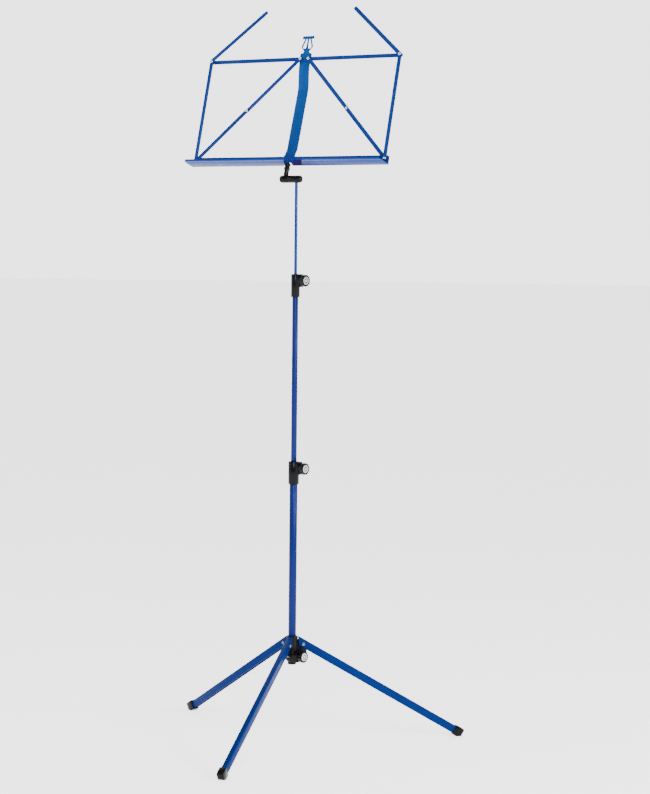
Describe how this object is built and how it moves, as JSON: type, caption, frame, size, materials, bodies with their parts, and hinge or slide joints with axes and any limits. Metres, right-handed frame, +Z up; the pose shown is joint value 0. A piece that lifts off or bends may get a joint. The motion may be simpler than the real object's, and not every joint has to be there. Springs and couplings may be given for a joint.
{
  "type": "music stand",
  "caption": "Folding tripod music stand: channel legs on a moulded hub, telescopic clamped post, tilting head, and a folding flat-bar desk with page ledge, page arms and lyre finial.",
  "frame": {"origin": "middle of the footprint of the opened stand, on the floor", "axes": "+Z up the post; the desk faces -Y, +X is to the reader's right"},
  "size_m": [0.6258, 0.5898, 1.4951],
  "materials": {
    "blue_paint": "gloss enamel",
    "tube_paint": "gloss enamel",
    "black_plastic": "fine moulded texture",
    "bright_steel": "bright plated",
    "knob_disc": "turned",
    "nylon": "natural"
  },
  "bodies": {
    "base": {"hub": "black_plastic", "right_leg_rivet": "bright_steel", "left_leg_rivet": "bright_steel", "front_leg_rivet": "bright_steel"},
    "right_leg": {"right_leg": "blue_paint", "right_foot_cap": "black_plastic"},
    "left_leg": {"left_leg": "blue_paint", "left_foot_cap": "black_plastic"},
    "front_leg": {"front_leg": "blue_paint", "front_foot_cap": "black_plastic"},
    "hub_knob": {"hub_knob": "black_plastic", "hub_knob_disc": "knob_disc", "hub_screw": "bright_steel"},
    "lower_post": {"lower_tube": "tube_paint", "lower_tube_plug": "black_plastic", "lower_clamp": "black_plastic"},
    "lower_knob": {"lower_clamp_knob": "black_plastic", "lower_clamp_knob_disc": "knob_disc", "lower_clamp_screw": "bright_steel"},
    "middle_post": {"middle_tube": "tube_paint", "middle_tube_guide": "nylon", "upper_clamp": "black_plastic"},
    "upper_knob": {"upper_clamp_knob": "black_plastic", "upper_clamp_knob_disc": "knob_disc", "upper_clamp_screw": "bright_steel"},
    "rod": {"upper_rod": "blue_paint", "upper_rod_guide": "nylon"},
    "head": {"tilt_head": "black_plastic", "tilt_axle": "bright_steel", "tilt_cap": "black_plastic"},
    "desk": {"desk_stem": "black_plastic", "stem_pin": "bright_steel", "spine": "blue_paint", "hinge_plate": "blue_paint", "left_spine_rivet": "bright_steel", "right_spine_rivet": "bright_steel", "left_hinge_rivet": "blue_paint", "right_hinge_rivet": "blue_paint"},
    "left_ledge": {"left_ledge": "blue_paint", "left_ledge_rivet": "bright_steel"},
    "left_top_bar": {"left_top_bar": "blue_paint", "left_corner_rivet": "bright_steel"},
    "left_upright": {"left_upright": "blue_paint"},
    "left_upper_diagonal": {"left_upper_diagonal": "blue_paint"},
    "left_lower_diagonal": {"left_lower_diagonal": "blue_paint", "left_knee_rivet": "bright_steel"},
    "left_page_arm": {"left_page_arm": "blue_paint"},
    "right_ledge": {"right_ledge": "blue_paint", "right_ledge_rivet": "bright_steel"},
    "right_top_bar": {"right_top_bar": "blue_paint", "right_corner_rivet": "bright_steel"},
    "right_upright": {"right_upright": "blue_paint"},
    "right_upper_diagonal": {"right_upper_diagonal": "blue_paint"},
    "right_lower_diagonal": {"right_lower_diagonal": "blue_paint", "right_knee_rivet": "bright_steel"},
    "right_page_arm": {"right_page_arm": "blue_paint"}
  },
  "joints": [
    {"name": "right_leg_fold", "type": "hinge", "parent": "base", "child": "right_leg", "pos_m": [0.04421, 0.0777, 0.199], "axis": [-0.6252, 0.7804, 0], "range_deg": [0, 60]},
    {"name": "left_leg_fold", "type": "hinge", "parent": "base", "child": "left_leg", "pos_m": [0.00518, 0.07173, 0.199], "axis": [-0.3633, -0.9317, 0], "range_deg": [0, 60]},
    {"name": "front_leg_fold", "type": "hinge", "parent": "base", "child": "front_leg", "pos_m": [0.02987, 0.04091, 0.199], "axis": [0.9885, 0.1513, 0], "range_deg": [0, 60]},
    {"name": "lower_post_slide", "type": "slide", "parent": "base", "child": "lower_post", "axis": [0, 0, 1], "range_m": [-0.15, 0]},
    {"name": "middle_post_slide", "type": "slide", "parent": "lower_post", "child": "middle_post", "axis": [0, 0, 1], "range_m": [-0.333, 0]},
    {"name": "rod_slide", "type": "slide", "parent": "middle_post", "child": "rod", "axis": [0, 0, 1], "range_m": [-0.18, 0.075]},
    {"name": "hub_knob_turn", "type": "hinge", "parent": "base", "child": "hub_knob", "pos_m": [0.02642, 0.06345, 0.1763], "axis": [0.9848, -0.1736, 0], "continuous": true},
    {"name": "lower_knob_turn", "type": "hinge", "parent": "lower_post", "child": "lower_knob", "pos_m": [0.02642, 0.06345, 0.561], "axis": [0.9848, -0.1736, 0], "continuous": true},
    {"name": "upper_knob_turn", "type": "hinge", "parent": "middle_post", "child": "upper_knob", "pos_m": [0.02642, 0.06345, 0.9415], "axis": [0.9848, -0.1736, 0], "continuous": true},
    {"name": "head_swivel", "type": "hinge", "parent": "rod", "child": "head", "pos_m": [0.02642, 0.06345, 1.1453], "axis": [0, 0, 1], "continuous": true},
    {"name": "desk_tilt", "type": "hinge", "parent": "head", "child": "desk", "pos_m": [0.00042, 0.06345, 1.1453], "axis": [-1, 0, 0], "range_deg": [-16, 74]},
    {"name": "left_fold", "type": "hinge", "parent": "desk", "child": "left_ledge", "pos_m": [-0.00908, 0.07971, 1.18298], "axis": [0, 0.9613, -0.2756], "range_deg": [0, 87]},
    {"name": "left_top_bar_fold", "type": "hinge", "parent": "desk", "child": "left_top_bar", "pos_m": [-0.00908, 0.13947, 1.39138], "axis": [0, 0.9613, -0.2756], "range_deg": [0, 87]},
    {"name": "left_upright_fold", "type": "hinge", "parent": "left_ledge", "child": "left_upright", "pos_m": [-0.22158, 0.07971, 1.18298], "axis": [0, 0.9613, -0.2756], "range_deg": [-87, 0]},
    {"name": "left_upper_diagonal_fold", "type": "hinge", "parent": "desk", "child": "left_upper_diagonal", "pos_m": [-0.00908, 0.13947, 1.39138], "axis": [0, 0.9613, -0.2756], "range_deg": [-44.1, 0]},
    {"name": "left_lower_diagonal_fold", "type": "hinge", "parent": "left_ledge", "child": "left_lower_diagonal", "pos_m": [-0.22158, 0.07971, 1.18298], "axis": [0, 0.9613, -0.2756], "range_deg": [0, 44.7]},
    {"name": "left_arm_swing", "type": "hinge", "parent": "left_top_bar", "child": "left_page_arm", "pos_m": [-0.22158, 0.13947, 1.39138], "axis": [0, 0.9613, -0.2756], "range_deg": [-49, 131]},
    {"name": "right_fold", "type": "hinge", "parent": "desk", "child": "right_ledge", "pos_m": [0.00992, 0.07971, 1.18298], "axis": [0, -0.9613, 0.2756], "range_deg": [0, 87]},
    {"name": "right_top_bar_fold", "type": "hinge", "parent": "desk", "child": "right_top_bar", "pos_m": [0.00992, 0.13947, 1.39138], "axis": [0, -0.9613, 0.2756], "range_deg": [0, 87]},
    {"name": "right_upright_fold", "type": "hinge", "parent": "right_ledge", "child": "right_upright", "pos_m": [0.22242, 0.07971, 1.18298], "axis": [0, -0.9613, 0.2756], "range_deg": [-87, 0]},
    {"name": "right_upper_diagonal_fold", "type": "hinge", "parent": "desk", "child": "right_upper_diagonal", "pos_m": [0.00992, 0.13947, 1.39138], "axis": [0, -0.9613, 0.2756], "range_deg": [-44.1, 0]},
    {"name": "right_lower_diagonal_fold", "type": "hinge", "parent": "right_ledge", "child": "right_lower_diagonal", "pos_m": [0.22242, 0.07971, 1.18298], "axis": [0, -0.9613, 0.2756], "range_deg": [0, 44.7]},
    {"name": "right_arm_swing", "type": "hinge", "parent": "right_top_bar", "child": "right_page_arm", "pos_m": [0.22242, 0.13947, 1.39138], "axis": [0, -0.9613, 0.2756], "range_deg": [-49, 131]}
  ],
  "couplings": [
    {"joint": "left_top_bar_fold", "follows": "left_fold", "ratio": 1},
    {"joint": "left_upright_fold", "follows": "left_fold", "ratio": -1},
    {"joint": "left_upper_diagonal_fold", "follows": "left_fold", "ratio": -0.5065},
    {"joint": "left_lower_diagonal_fold", "follows": "left_fold", "ratio": 0.5136},
    {"joint": "right_top_bar_fold", "follows": "right_fold", "ratio": 1},
    {"joint": "right_upright_fold", "follows": "right_fold", "ratio": -1},
    {"joint": "right_upper_diagonal_fold", "follows": "right_fold", "ratio": -0.5065},
    {"joint": "right_lower_diagonal_fold", "follows": "right_fold", "ratio": 0.5136}
  ]
}
